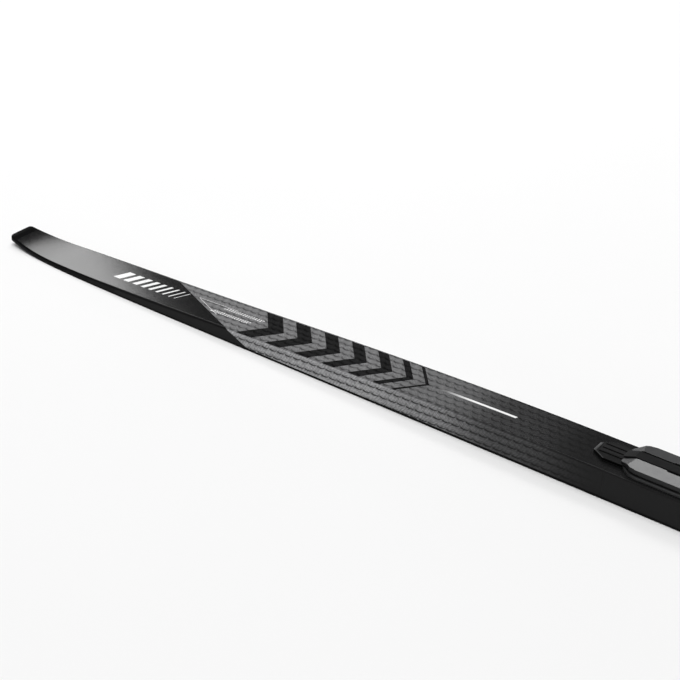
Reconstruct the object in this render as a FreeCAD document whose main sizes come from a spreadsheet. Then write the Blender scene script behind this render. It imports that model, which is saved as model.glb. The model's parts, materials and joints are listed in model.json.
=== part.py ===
import FreeCAD, Part
import Sketcher
import math
import os

# Cross country skate ski with a shift-in binding.
# +X points to the tip, +Y to the skier's left, +Z up. The origin lies on the resting plane,
# below the middle of the ski's length and width.

DIMENSIONS = {
    # ski
    "ski_length": 1310.0,
    "ski_width": 44.0,
    "camber": 0.5,
    "tip_rise": 6.2,
    "tail_rise": 3.0,
    "tip_contact": 590.0,
    "tail_contact": -600.0,
    "end_thick": 3.7,
    "deck_height": 22.8,
    "deck_front": 55.0,
    "deck_back": -306.0,
    "tail_ramp": 330.0,
    "side_slope": 0.08,
    "base_thick": 1.2,
    "laminate_thick": 0.6,
    "topsheet_thick": 0.6,
    "wall_thick": 1.4,
    "groove_half": 2.0,
    "groove_deep": 0.6,
    "protector_length": 13.0,
    "insert_length": 42.0,
    "block_half": 15.0,
    "block_deep": 8.0,
    # binding plates
    "plate_nose": 49.0,
    "plate_end": -98.0,
    "plate_half": 11.0,
    "plate_high": 3.6,
    "rail_front": -206.0,
    "rail_end": -304.0,
    "rail_half": 14.0,
    "rail_inner": 7.0,
    "rail_floor": 1.2,
    "undercut": 1.5,
    "slide_gap": 0.3,
    # screws
    "screw_radius": 2.2,
    "screw_head": 3.9,
    "screw_deep": 12.0,
    "small_radius": 1.7,
    "small_head": 3.0,
    # toe unit, heights above the deck
    "unit_nose": 27.5,
    "unit_end": -118.0,
    "unit_half": 17.4,
    "flange_high": 2.6,
    "floor_high": 4.4,
    "flank_high": 9.3,
    "band_fall": 1.6,
    "flank_half": 16.5,
    "flank_end": -46.0,
    "channel_half": 5.3,
    "lever_half": 4.3,
    "lever_tip": 26.5,
    "hinge_x": -38.0,
    "hinge_high": 8.8,
    "eye_radius": 3.2,
    "pin_radius": 1.3,
    "pin_gap": 0.05,
    "jaw_x": -50.0,
    "bar_x": -62.0,
    "bar_high": 9.0,
    "bar_radius": 2.1,
    "pawl_x": -88.0,
    "pawl_high": 6.2,
    # strap and heel unit
    "strap_half": 6.2,
    "strap_low": 1.5,
    "strap_thick": 1.2,
    "strap_end": -286.0,
    "heel_front": -228.0,
    "heel_end": -282.0,
    "heel_high": 8.0,
    "ridge_high": 13.0,
    "pad_thick": 1.5,
}

doc = FreeCAD.newDocument("Ski")
sheet = doc.addObject("Spreadsheet::Sheet", "Dims")
for row, (alias, number) in enumerate(DIMENSIONS.items(), start=1):
    sheet.set("A%d" % row, alias)
    sheet.set("B%d" % row, str(number))
    sheet.setAlias("B%d" % row, alias)
doc.recompute()


class Size:
    """A length that keeps its spreadsheet expression beside its value."""

    def __init__(self, text, value):
        self.text = text
        self.value = value

    def __add__(self, other):
        return combine(self, "+", other, self.value + size(other).value)

    def __sub__(self, other):
        return combine(self, "-", other, self.value - size(other).value)

    def __mul__(self, other):
        return combine(self, "*", other, self.value * size(other).value)

    def __truediv__(self, other):
        return combine(self, "/", other, self.value / size(other).value)

    def __rsub__(self, other):
        return size(other) - self

    def __neg__(self):
        return self * -1

    __radd__ = __add__
    __rmul__ = __mul__


def size(number):
    if isinstance(number, Size):
        return number
    return Size("(%.6g)" % number, float(number))


def combine(left, sign, right, value):
    return Size("(%s %s %s)" % (left.text, sign, size(right).text), value)


def dim(alias):
    return Size("Dims.%s" % alias, float(sheet.get(alias)))


def value(alias):
    return float(sheet.get(alias))


DECK = dim("deck_height")
SUB_PARTS = []


# ---------------------------------------------------------------- PartDesign helpers

def new_body(label):
    body = doc.addObject("PartDesign::Body", label)
    body.Label = label
    SUB_PARTS.append(body)
    return body


def new_sketch(body, plane, middle):
    """A sketch parallel to an origin plane, at the coordinate `middle` along its world axis."""
    sketch = body.newObject("Sketcher::SketchObject", body.Label + "_sketch")
    origin_plane = [item for item in body.Origin.OriginFeatures if item.Role == plane + "_Plane"][0]
    sketch.AttachmentSupport = [(origin_plane, "")]
    sketch.MapMode = "FlatFace"
    # The XZ plane's own normal is -Y, so its offset is turned round.
    along = -size(middle) if plane == "XZ" else size(middle)
    sketch.AttachmentOffset = FreeCAD.Placement(FreeCAD.Vector(0, 0, along.value), FreeCAD.Rotation())
    sketch.setExpression("AttachmentOffset.Base.z", along.text)
    return sketch


def bind(sketch, kind, place, first, second):
    """Adds one driven distance from the sketch origin."""
    index = sketch.addConstraint(Sketcher.Constraint(kind, -1, 1, first, second, place.value))
    sketch.setExpression("Constraints[%d]" % index, place.text)


def draw_polygon(sketch, points):
    points = [(size(a), size(b)) for a, b in points]
    count = len(points)
    for index in range(count):
        start = points[index]
        end = points[(index + 1) % count]
        start_point = FreeCAD.Vector(start[0].value, start[1].value, 0)
        end_point = FreeCAD.Vector(end[0].value, end[1].value, 0)
        sketch.addGeometry(Part.LineSegment(start_point, end_point), False)
    for index in range(count):
        sketch.addConstraint(Sketcher.Constraint("Coincident", index, 2, (index + 1) % count, 1))
    for index, (across, up) in enumerate(points):
        bind(sketch, "DistanceX", across, index, 1)
        bind(sketch, "DistanceY", up, index, 1)


def draw_circle(sketch, across, up, radius):
    across, up, radius = size(across), size(up), size(radius)
    centre = FreeCAD.Vector(across.value, up.value, 0)
    sketch.addGeometry(Part.Circle(centre, FreeCAD.Vector(0, 0, 1), radius.value), False)
    bind(sketch, "DistanceX", across, 0, 3)
    bind(sketch, "DistanceY", up, 0, 3)
    index = sketch.addConstraint(Sketcher.Constraint("Radius", 0, radius.value))
    sketch.setExpression("Constraints[%d]" % index, radius.text)


def extrude(body, kind, plane, low, high, points=None, circle=None):
    """Pads or pockets an outline between two coordinates along the plane's world axis."""
    low, high = size(low), size(high)
    sketch = new_sketch(body, plane, (low + high) / 2)
    if points:
        draw_polygon(sketch, points)
    else:
        draw_circle(sketch, *circle)
    before = 0.0 if body.Shape.isNull() else body.Shape.Volume
    feature = body.newObject("PartDesign::" + kind, "%s_%s" % (body.Label, kind.lower()))
    feature.Profile = sketch
    feature.Midplane = True
    feature.Length = high.value - low.value
    feature.setExpression("Length", (high - low).text)
    doc.recompute()
    change = body.Shape.Volume - before
    if (kind == "Pad") != (change > 0):
        raise RuntimeError("%s of %s changed the volume by %.3f" % (kind, body.Label, change))
    return feature


def pad(body, plane, low, high, points=None, circle=None):
    return extrude(body, "Pad", plane, low, high, points, circle)


def pocket(body, plane, low, high, points=None, circle=None):
    return extrude(body, "Pocket", plane, low, high, points, circle)


def dress(body, kind, amount, wanted):
    """Fillets or chamfers the edges that `wanted` picks by their centre and box."""
    base = body.Tip
    names = []
    for index, edge in enumerate(base.Shape.Edges, start=1):
        if wanted(edge.CenterOfMass, edge.BoundBox):
            names.append("Edge%d" % index)
    feature = body.newObject("PartDesign::" + kind, "%s_%s" % (body.Label, kind.lower()))
    feature.Base = (base, names)
    key = "Radius" if kind == "Fillet" else "Size"
    amount = size(amount)
    setattr(feature, key, amount.value)
    feature.setExpression(key, amount.text)
    doc.recompute()
    return feature


def mirrored(points):
    """Closes a half outline, given from front to back on the +Y side, over the X axis."""
    return points + [(a, -size(b)) for a, b in reversed(points)]


def box_points(low_a, high_a, low_b, high_b):
    return [(low_a, low_b), (high_a, low_b), (high_a, high_b), (low_a, high_b)]


def pin_between(label, x, z, radius, half_length):
    """A cylindrical pin across the ski, centred on y = 0."""
    pin = doc.addObject("Part::Cylinder", label)
    pin.Label = label
    pin.Radius = size(radius).value
    pin.Height = (2 * size(half_length)).value
    pin.setExpression("Radius", size(radius).text)
    pin.setExpression("Height", (2 * size(half_length)).text)
    place = FreeCAD.Vector(size(x).value, size(half_length).value, size(z).value)
    pin.Placement = FreeCAD.Placement(place, FreeCAD.Rotation(FreeCAD.Vector(1, 0, 0), 90))
    pin.setExpression("Placement.Base.x", size(x).text)
    pin.setExpression("Placement.Base.y", size(half_length).text)
    pin.setExpression("Placement.Base.z", size(z).text)
    SUB_PARTS.append(pin)
    return pin


# ---------------------------------------------------------------- the ski's curves

def smooth(t):
    t = min(max(t, 0.0), 1.0)
    return t * t * (3 - 2 * t)


def base_height(x):
    """Height of the running surface: turned-up ends, and a low arch between the contact lines."""
    half = value("ski_length") / 2
    front = value("tip_contact")
    back = value("tail_contact")
    if x > front:
        return value("tip_rise") * ((x - front) / (half - front)) ** 2.35
    if x < back:
        return value("tail_rise") * ((back - x) / (half + back)) ** 2
    return value("camber") * math.sin(math.pi * (x - back) / (front - back)) ** 2


def top_height(x):
    """Height of the topsheet: a level deck under the binding, thinning to both ends."""
    half = value("ski_length") / 2
    end = base_height(x) + value("end_thick")
    front = value("deck_front")
    back = value("deck_back")
    if x > front:
        share = smooth((half - x) / (half - front))
    elif x < back:
        share = smooth((half + x) / value("tail_ramp"))
    else:
        return value("deck_height")
    return end + (value("deck_height") - end) * share


def stations(low, high):
    count = max(6, int(round((high - low) / 30.0)))
    return [low + (high - low) * index / count for index in range(count + 1)]


def height_curve(height, low, high, lift):
    points = [FreeCAD.Vector(x, 0, height(x) + lift) for x in stations(low, high)]
    curve = Part.BSplineCurve()
    curve.interpolate(points)
    return curve.toShape()


OVERHANG = 5.0


def base_line(lift):
    """Edges of the base curve, lifted, from tail to tip and a little past both."""
    half = value("ski_length") / 2
    breaks = [-half - OVERHANG, value("tail_contact"), value("tip_contact"), half + OVERHANG]
    return [height_curve(base_height, a, b, lift) for a, b in zip(breaks, breaks[1:])]


def top_line(lift):
    half = value("ski_length") / 2
    front = value("deck_front")
    back = value("deck_back")
    level = value("deck_height") + lift
    deck = Part.makeLine(FreeCAD.Vector(back, 0, level), FreeCAD.Vector(front, 0, level))
    tail = height_curve(top_height, -half - OVERHANG, back, lift)
    tip = height_curve(top_height, front, half + OVERHANG, lift)
    return [tail, deck, tip]


def between(low_edges, high_edges):
    """A wide solid between two side-view lines."""
    low_wire = Part.Wire(low_edges)
    high_wire = Part.Wire(high_edges)
    ends = []
    for pick in (0, -1):
        low_point = low_wire.OrderedVertexes[pick].Point
        high_point = high_wire.OrderedVertexes[pick].Point
        ends.append(Part.makeLine(low_point, high_point))
    edges = low_edges + high_edges + ends
    outline = Part.Wire(Part.__sortEdges__(edges))
    face = Part.Face(outline)
    wide = value("ski_width")
    face.translate(FreeCAD.Vector(0, -wide, 0))
    return face.extrude(FreeCAD.Vector(0, 2 * wide, 0))


def plan_wire(wall, lean, z):
    """The ski from above: square-cut tip with small corners, parallel waist, rounder tail."""
    half = value("ski_length") / 2 - wall
    inset = wall + lean
    wide = value("ski_width") / 2 - inset

    def spline(points):
        curve = Part.BSplineCurve()
        curve.interpolate([FreeCAD.Vector(x, y, z) for x, y in points])
        return curve.toShape()

    def line(a, b):
        return Part.makeLine(FreeCAD.Vector(a[0], a[1], z), FreeCAD.Vector(b[0], b[1], z))

    def arc(a, b, c):
        first, middle, last = (FreeCAD.Vector(x, y, z) for x, y in (a, b, c))
        return Part.Arc(first, middle, last).toShape()

    def side(y_sign):
        corner = [(half, 10.0 - inset), (half - 1.3, 12.9 - inset), (half - 4.4, 14.2 - inset)]
        shovel = [corner[2], (half - 30, wide - 4.9), (half - 70, wide - 2.0), (half - 130, wide - 0.4)]
        shovel.append((half - 200, wide))
        tail = [(-half + 60, wide), (-half + 30, wide - 0.7), (-half + 9, wide - 3.0)]
        heel = [tail[2], (-half + 2.4, wide - 6.4), (-half, wide - 11.0)]
        parts = []
        for points in (corner, shovel, tail, heel):
            parts.append([(x, y * y_sign) for x, y in points])
        corner, shovel, tail, heel = parts
        return [arc(*corner), spline(shovel), line(shovel[-1], tail[0]), spline(tail), arc(*heel)], corner, heel

    left, left_corner, left_heel = side(1)
    right, right_corner, right_heel = side(-1)
    ends = [line(left_corner[0], right_corner[0]), line(left_heel[-1], right_heel[-1])]
    return Part.Wire(Part.__sortEdges__(left + right + ends))


def plan_solid(extra):
    """A tall solid with the ski's plan shape, whose walls lean inward as they rise."""
    low, high = -2.0, 40.0
    slope = value("side_slope")
    wires = [plan_wire(extra, slope * z, z) for z in (low, high)]
    return Part.makeLoft(wires, True, True)


def slab(x_low, x_high, y_low, y_high, z_low=-20.0, z_high=60.0):
    corner = FreeCAD.Vector(x_low, y_low, z_low)
    return Part.makeBox(x_high - x_low, y_high - y_low, z_high - z_low, corner)


def keep_shape(label, shape):
    feature = doc.addObject("Part::Feature", label)
    feature.Label = label
    if len(shape.Solids) == 1:
        shape = shape.Solids[0]
    feature.Shape = shape.removeSplitter()
    feature.Placement = FreeCAD.Placement()
    SUB_PARTS.append(feature)
    return feature


def screw_places():
    """Axis x, axis y, shank radius and node name of each binding screw."""
    front = [(-15.0, 0.0), (-92.0, 0.0)]
    inset = 8.0
    across = (value("rail_inner") + value("rail_half")) / 2
    ends = (value("rail_front") - inset, value("rail_end") + inset)
    rear = [(x, sign * across) for x in ends for sign in (1, -1)]
    places = [(x, y, "screw_radius", "screw_front_%d" % n) for n, (x, y) in enumerate(front, start=1)]
    places += [(x, y, "small_radius", "screw_rear_%d" % n) for n, (x, y) in enumerate(rear, start=1)]
    return places


def screw_holes(extra):
    holes = []
    bottom = value("deck_height") - value("screw_deep")
    for x, y, radius, _ in screw_places():
        corner = FreeCAD.Vector(x, y, bottom)
        holes.append(Part.makeCylinder(value(radius) + extra, 60.0, corner))
    return holes


# ---------------------------------------------------------------- the ski's layers

def build_ski():
    """Base, edges, laminates, core, inserts, cap and tail protector."""
    half = value("ski_length") / 2
    base = value("base_thick")
    laminate = value("laminate_thick")
    skin = value("topsheet_thick")
    edge_top = base + laminate
    tail_cut = -half + value("protector_length")
    forward = slab(tail_cut, half + OVERHANG, -50, 50)
    outer = plan_solid(0.0)
    inner = plan_solid(value("wall_thick")).common(forward)

    sole = inner.common(between(base_line(0), base_line(base)))
    groove_box = slab(-half + 60, half - 170, -value("groove_half"), value("groove_half"))
    groove = groove_box.common(between(base_line(-1), base_line(value("groove_deep"))))
    keep_shape("base_sole", sole.cut(groove))

    ring = outer.common(forward).cut(inner)
    strips = ring.common(between(base_line(0), base_line(edge_top)))
    keep_shape("edge_strip_left", strips.common(slab(-half - 9, half + 9, 0, 50)))
    keep_shape("edge_strip_right", strips.common(slab(-half - 9, half + 9, -50, 0)))

    keep_shape("lower_laminate", inner.common(between(base_line(base), base_line(edge_top))))

    middle = inner.common(between(base_line(edge_top), top_line(-skin - laminate)))
    tip_start = half - value("insert_length")
    tail_end = tail_cut + value("insert_length")
    block_top = value("deck_height") - skin - laminate
    block_wide = value("block_half")
    block_box = slab(value("deck_back"), value("deck_front"), -block_wide, block_wide,
                     block_top - value("block_deep"), block_top)
    tight_holes = screw_holes(0.0)
    keep_shape("tip_insert", middle.common(slab(tip_start, half + 9, -50, 50)))
    keep_shape("tail_insert", middle.common(slab(-half - 9, tail_end, -50, 50)))
    core = middle.common(slab(tail_end, tip_start, -50, 50)).cut(block_box)
    keep_shape("foam_core", core.cut(tight_holes))
    keep_shape("mount_block", middle.common(block_box).cut(tight_holes))

    loose_holes = screw_holes(0.2)
    upper = inner.common(between(top_line(-skin - laminate), top_line(-skin)))
    keep_shape("upper_laminate", upper.cut(loose_holes))

    cap = outer.common(forward).common(between(base_line(edge_top), top_line(0)))
    hollow = inner.common(between(base_line(0), top_line(-skin)))
    keep_shape("topsheet", cap.cut(hollow).cut(loose_holes))

    protector = outer.common(slab(-half - 9, tail_cut, -50, 50))
    protector = protector.common(between(base_line(0), top_line(0)))
    keep_shape("tail_protector", protector)


# ---------------------------------------------------------------- plates and screws

def plate_section(half, high, inner=None, floor=None):
    """Rail section in Y and Z with an undercut along each side; a channel if `inner` is given."""
    cut = dim("undercut")
    right = [(half, DECK), (half, DECK + 1.1), (half - cut, DECK + 1.1), (half - cut, DECK + 2.9)]
    right += [(half, DECK + 2.9), (half, DECK + high)]
    left = [(-size(a), b) for a, b in reversed(right)]
    if inner is None:
        return right + left
    channel = [(inner, DECK + high), (inner, DECK + floor), (-inner, DECK + floor), (-inner, DECK + high)]
    return right + channel + left


def drill(body, x, y, radius, head, top):
    """A countersunk hole through a plate that lies on the deck."""
    pocket(body, "XY", DECK - 1, top + 1, circle=(x, y, radius + 0.15))
    rim = dim(head) - dim(radius_of(head)) + 0.1

    def at_mouth(centre, box):
        middle_x = (box.XMin + box.XMax) / 2
        middle_y = (box.YMin + box.YMax) / 2
        near = math.hypot(middle_x - x, middle_y - size(y).value) < 0.4
        return near and abs(centre.z - top.value) < 0.05
    dress(body, "Chamfer", rim, at_mouth)


def radius_of(head):
    return "screw_radius" if head == "screw_head" else "small_radius"


def build_plate_front():
    """The toe rail screwed to the deck: pointed nose, lengthwise ridges and a short rack."""
    body = new_body("plate_front")
    nose, end, half, high = dim("plate_nose"), dim("plate_end"), dim("plate_half"), dim("plate_high")
    pad(body, "YZ", end, nose, plate_section(half, high))
    for sign in (1, -1):
        corner = [(nose + 1, sign * 4.8), (nose + 1, sign * (half + 1)), (nose - 12, sign * (half + 1)),
                  (nose - 10.5, sign * half), (nose, sign * 4.8)]
        pocket(body, "XY", DECK - 1, DECK + high + 1, corner)
    slope = [(nose, DECK + 2.6), (nose + 1, DECK + 2.2), (nose + 1, DECK + high + 1),
             (nose - 2.4, DECK + high + 1), (nose - 2.4, DECK + high)]
    pocket(body, "XZ", -half - 1, half + 1, slope)
    dress(body, "Chamfer", 0.45, lambda centre, box: abs(centre.z - (DECK + high).value) < 0.01
          and box.YLength > 2 and box.XLength > 2)
    for centre in (-5.0, 0.0, 5.0):
        groove = box_points(nose - 37, nose - 4.5, centre - 0.7, size(centre + 0.7))
        pocket(body, "XY", DECK + high - 0.8, DECK + high + 1, groove)
    for index in range(7):
        start = dim("pawl_x") + 5.0 + 2.0 * index
        slot = box_points(start, start + 1.0, -4.0, size(4.0))
        pocket(body, "XY", DECK + high - 0.7, DECK + high + 1, slot)
    for x, y, _, label in screw_places():
        if label.startswith("screw_front"):
            drill(body, x, y, dim("screw_radius"), "screw_head", DECK + high)


def build_plate_rear():
    """The heel rail: a shallow channel that lets the strap pass between its two rails."""
    body = new_body("plate_rear")
    high = dim("plate_high")
    section = plate_section(dim("rail_half"), high, dim("rail_inner"), dim("rail_floor"))
    pad(body, "YZ", dim("rail_end"), dim("rail_front"), section)
    for x, y, _, label in screw_places():
        if label.startswith("screw_rear"):
            drill(body, x, y, dim("small_radius"), "small_head", DECK + high)
    half = dim("rail_half").value
    dress(body, "Chamfer", 1.0, lambda centre, box: box.ZLength > 0.5 and abs(abs(centre.y) - half) < 0.01)


def build_screw(x, y, radius, head, label):
    """A countersunk screw turned about its axis, with a cross recess."""
    body = new_body(label)
    top = dim("plate_high") - 0.25
    cone = dim(head) - dim(radius)
    profile = [(0, -dim("screw_deep")), (dim(radius) * 0.6, -dim("screw_deep")), (dim(radius), -dim("screw_deep") + 2),
               (dim(radius), top - cone), (dim(head), top), (0, top)]
    sketch = new_sketch(body, "XZ", 0)
    draw_polygon(sketch, profile)
    turned = body.newObject("PartDesign::Revolution", label + "_turned")
    turned.Profile = sketch
    turned.ReferenceAxis = (sketch, ["V_Axis"])
    turned.Angle = 360
    doc.recompute()
    arm = dim(head) * 0.55
    for long_way in (0, 1):
        wide = (arm, size(0.5))[long_way]
        tall = (size(0.5), arm)[long_way]
        pocket(body, "XY", top - 1.3, top + 1, box_points(-wide, wide, -tall, tall))
    body.Placement = FreeCAD.Placement(FreeCAD.Vector(x, y, DECK.value), FreeCAD.Rotation())
    body.setExpression("Placement.Base.z", DECK.text)


# ---------------------------------------------------------------- toe unit

def unit_outline(inset):
    """Plan of the toe unit's base: a blunt boat-shaped nose and parallel sides."""
    nose, half = dim("unit_nose") - inset, dim("unit_half") - inset
    front = [(nose, size(4.0)), (nose - 0.6, 6.0), (nose - 6.8, half - 4.4), (nose - 11.5, half - 1.0)]
    return mirrored(front + [(nose - 17, half), (dim("unit_end"), half)])


def build_toe_housing():
    """The carriage that slides on the toe rail and carries lever, jaw, pawl and boot guides."""
    body = new_body("toe_housing")
    flange, floor = DECK + dim("flange_high"), DECK + dim("floor_high")
    pad(body, "XY", DECK + 0.4, flange, unit_outline(0))
    pad(body, "XY", flange, floor, unit_outline(2.4))
    foot = [(dim("flank_end"), dim("unit_half")), (dim("unit_end"), dim("unit_half"))]
    pad(body, "XY", flange, floor, mirrored(foot))
    build_slide_cavity(body, dim("plate_half"), dim("plate_end") - 14.5, dim("unit_nose") + 1)
    front, back = dim("hinge_x") + 7.2, dim("hinge_x") - 7.0
    hinge_z = DECK + dim("hinge_high")
    for sign in (1, -1):
        low, high = sorted((sign * 4.6, sign * 7.8))
        ear = [(front, floor), (front, hinge_z - 0.6), (front - 3.6, hinge_z + 3.4)]
        ear += [(back + 3, hinge_z + 3.4), (back, hinge_z), (back, floor)]
        pad(body, "XZ", low, high, ear)
        low, high = sorted((sign * 9.2, sign * 11.6))
        front_foot, back_foot = dim("jaw_x") + 3.6, dim("jaw_x") - 5.0
        cheek = [(front_foot, floor), (front_foot, hinge_z + 1.6), (front_foot - 1.4, hinge_z + 3.0)]
        cheek += [(dim("jaw_x") - 2.4, hinge_z + 3.0), (back_foot, hinge_z), (back_foot, floor)]
        pad(body, "XZ", low, high, cheek)
        low, high = sorted((sign * 5.2, sign * 7.8))
        start = dim("bar_x") - 6
        rib = [(start, floor), (start - 4, floor + 3.4), (dim("unit_end") + 8, floor + 3.4),
               (dim("unit_end") + 2, floor)]
        pad(body, "XZ", low, high, rib)
    bore = dim("pin_radius")
    pocket(body, "XZ", -8.5, 8.5, circle=(dim("hinge_x"), hinge_z, bore))
    pocket(body, "XZ", -12, 12, circle=(dim("jaw_x"), hinge_z, bore))
    pocket(body, "XZ", -8.5, 8.5, circle=(dim("pawl_x"), DECK + dim("pawl_high"), bore - 0.3))
    window = box_points(dim("pawl_x") + 6, dim("pawl_x") + 18, -4.7, size(4.7))
    pocket(body, "XY", DECK, floor + 0.1, window)
    strap_slot = box_points(dim("unit_end") - 1, dim("unit_end") + 7.0, -dim("strap_half"), dim("strap_half"))
    pocket(body, "XY", DECK, DECK + dim("strap_low") + dim("strap_thick"), strap_slot)
    pocket(body, "XY", DECK, floor + 1, circle=(rivet_x(), 0, 1.5))
    dress(body, "Fillet", 1.0, lambda centre, box: abs(centre.z - flange.value) < 0.01
          and box.ZLength < 0.01 and abs(centre.y) > 15.6 and box.XLength > 20)


def build_slide_cavity(body, half, back, front):
    """The T-shaped way for a rail: a wide slot with claws that reach into the rail's undercuts."""
    gap = dim("slide_gap")
    roof = DECK + dim("plate_high") + gap
    wide, narrow = half + gap, half + gap - dim("undercut")
    right = [(wide, DECK - 1), (wide, DECK + 1.4), (narrow, DECK + 1.4), (narrow, DECK + 2.6)]
    right += [(wide, DECK + 2.6), (wide, roof)]
    section = right + [(-size(a), b) for a, b in reversed(right)]
    pocket(body, "YZ", back, front, section)


def build_flank(label, sign):
    """Side cover beside the lever: a top band that falls outwards and a nose that slopes down."""
    body = new_body(label)
    inner, outer, end = dim("channel_half"), dim("flank_half"), dim("flank_end")
    nose = dim("unit_nose") - 1.9
    ear = dim("hinge_x") + 7.5
    outline = [(nose - 0.4, inner), (nose, inner + 1.6), (nose - 0.4, outer - 7.5), (nose - 6.5, outer - 3.4)]
    outline += [(nose - 10, outer - 1.1), (nose - 15, outer), (end, outer), (end, size(8.1)), (ear, size(8.1))]
    outline += [(ear, inner + 1), (-8.0, inner + 1), (-8.0, inner)]
    points = [(a, size(b) * sign) for a, b in outline]
    floor, top = DECK + dim("floor_high"), DECK + dim("flank_high")
    pad(body, "XY", floor, top, points)
    over = [(inner - 0.1, top), (outer + 1, top - dim("band_fall")), (outer + 1, top + 1), (inner - 0.1, top + 1)]
    pocket(body, "YZ", end - 1, nose + 1, [(size(a) * sign, b) for a, b in over])
    low, high = sorted((sign * 4.0, sign * 18.0))
    wedge = [(nose - 10.1, top), (nose + 0.6, floor + 0.3), (nose + 2, top + 1), (nose - 10.1, top + 1)]
    pocket(body, "XZ", low, high, wedge)


def build_lever():
    """The release lever: long flat bar with a thin lifting tip, hinge eye and cam lobe."""
    body = new_body("lever")
    half, tip = dim("lever_half"), dim("lever_tip")
    hinge_x, hinge_z = dim("hinge_x"), DECK + dim("hinge_high")
    low, top = DECK + 5.6, DECK + 9.3
    side = [(hinge_x, low), (tip - 7, low), (tip - 0.6, low - 0.3), (tip, low + 0.4), (tip - 9, top)]
    side += [(hinge_x + 9, top), (hinge_x + 4, top + 1.6), (hinge_x, top + 1.6)]
    pad(body, "XZ", -half, half, side)
    pad(body, "XZ", -half, half, circle=(hinge_x, hinge_z, dim("eye_radius")))
    lobe = [(hinge_x, hinge_z - 1.6), (hinge_x, hinge_z + 2.4), (hinge_x - 4.2, hinge_z + 1.0),
            (hinge_x - 4.8, hinge_z - 0.2)]
    pad(body, "XZ", -half, half, lobe)
    for sign in (1, -1):
        corner = [(tip + 1, sign * 3.7), (tip + 1, sign * (half + 1)), (tip - 2.2, sign * (half + 1)),
                  (tip - 1.4, sign * half), (tip, sign * 3.7)]
        pocket(body, "XY", low - 1, top + 3, corner)
    pocket(body, "XZ", -half - 1, half + 1, circle=(hinge_x, hinge_z, dim("pin_radius") + dim("pin_gap")))
    dress(body, "Fillet", 0.7, lambda centre, box: abs(centre.z - top.value) < 0.01
          and abs(abs(centre.y) - half.value) < 0.01)


def build_jaw():
    """The steel jaw: a cross tube on its pin, two arms that hook over the boot's toe bar, a tail."""
    body = new_body("jaw")
    jaw_x, z = dim("jaw_x"), DECK + dim("hinge_high")
    bar_x, bar_z = dim("bar_x"), DECK + dim("bar_high")
    tube = size(2.6)
    wide = size(8.8)
    pad(body, "XZ", -wide, wide, circle=(jaw_x, z, tube))
    tail = [(jaw_x, z - 1.2), (jaw_x + 4.6, z - 1.0), (jaw_x + 5.0, z + 0.4), (jaw_x, z + 2.2)]
    pad(body, "XZ", -size(3.8), size(3.8), tail)
    arm = [(jaw_x, z - 2.0), (jaw_x - 4, z + 0.4), (bar_x + 3.4, bar_z + 0.6), (bar_x, bar_z + 1.5),
           (bar_x - 2.0, bar_z - 0.6), (bar_x - 4.6, bar_z - 0.6), (bar_x - 4.8, bar_z + 2.4),
           (bar_x - 2.6, bar_z + 4.8), (bar_x + 3.6, bar_z + 5.0), (jaw_x, z + 2.5)]
    for sign in (1, -1):
        low, high = sorted((sign * 6.4, sign * 8.8))
        pad(body, "XZ", low, high, arm)
    pocket(body, "XZ", -9.5, 9.5, circle=(bar_x, bar_z, dim("bar_radius") + 0.5))
    pocket(body, "XZ", -9.5, 9.5, circle=(jaw_x, z, dim("pin_radius") + dim("pin_gap")))


def build_bar_seat():
    """The fixed steel saddle under the toe bar: a half-round groove across the ski."""
    body = new_body("bar_seat")
    bar_x, bar_z, floor = dim("bar_x"), DECK + dim("bar_high"), DECK + dim("floor_high")
    section = [(bar_x + 3.2, floor), (bar_x + 3.2, bar_z), (bar_x - 3.4, bar_z), (bar_x - 5.4, floor)]
    pad(body, "XZ", -5.0, 5.0, section)
    pocket(body, "XZ", -6, 6, circle=(bar_x, bar_z, dim("bar_radius")))


def build_flexor():
    """The rubber block in front of the toe bar that the boot's sole presses when the heel lifts."""
    body = new_body("flexor")
    floor = DECK + dim("floor_high")
    back, front = dim("bar_x") + 3.5, dim("jaw_x") - 3.1
    top = DECK + 16.0
    section = [(front, floor), (front, top - 3.6), (front + 4.2, top - 3.2), (front + 3.6, top - 0.6),
               (front + 1.6, top), (back + 0.6, top - 1.6), (back, top - 5), (back, floor)]
    pad(body, "XZ", -5.0, 5.0, section)
    dress(body, "Fillet", 0.8, lambda centre, box: abs(abs(centre.y) - 5.0) < 0.01 and centre.z > floor.value + 4)


def build_pawl():
    """The rocker that locks the carriage: a tooth over the rack, a press tab behind its pin."""
    body = new_body("shift_pawl")
    x, z = dim("pawl_x"), DECK + dim("pawl_high")
    rack = DECK + dim("plate_high") + dim("slide_gap")
    side = [(x - 13.5, z - 0.5), (x, z - 1.4), (x + 9, z - 0.9), (x + 9, rack), (x + 10.2, rack),
            (x + 12.5, z - 0.6), (x + 13.5, z + 0.6), (x + 11, z + 1.3), (x - 4, z + 1.4), (x - 13.5, z + 0.9)]
    pad(body, "XZ", -4.4, 4.4, side)
    for index in range(3):
        start = x - 12.4 + 2.2 * index
        pocket(body, "XY", z + 0.7, z + 3, box_points(start, start + 0.9, -3.2, size(3.2)))
    pocket(body, "XZ", -5, 5, circle=(x, z, dim("pin_radius") - 0.3 + dim("pin_gap")))


def build_spring(label, x, low, high, radius, wire):
    """A short compression spring of square section: a tube slotted from each side in turn."""
    body = new_body(label)
    pad(body, "XY", low, high, circle=(x, 0, radius + wire))
    pocket(body, "XY", low, high, circle=(x, 0, radius - wire))
    turns = 3
    pitch = (high - low) / turns
    for index in range(turns):
        start = low + pitch * (index + 0.35)
        side = 1 if index % 2 else -1
        ends = sorted((x.value - side * (radius * 0.6), x.value + side * (radius + 1)))
        slot = [(ends[0], start), (ends[1], start), (ends[1], start + pitch * 0.4), (ends[0], start + pitch * 0.4)]
        pocket(body, "XZ", -radius - 1, radius + 1, slot)


# ---------------------------------------------------------------- strap and heel unit

def rivet_x():
    return dim("unit_end") + 3.5


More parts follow.
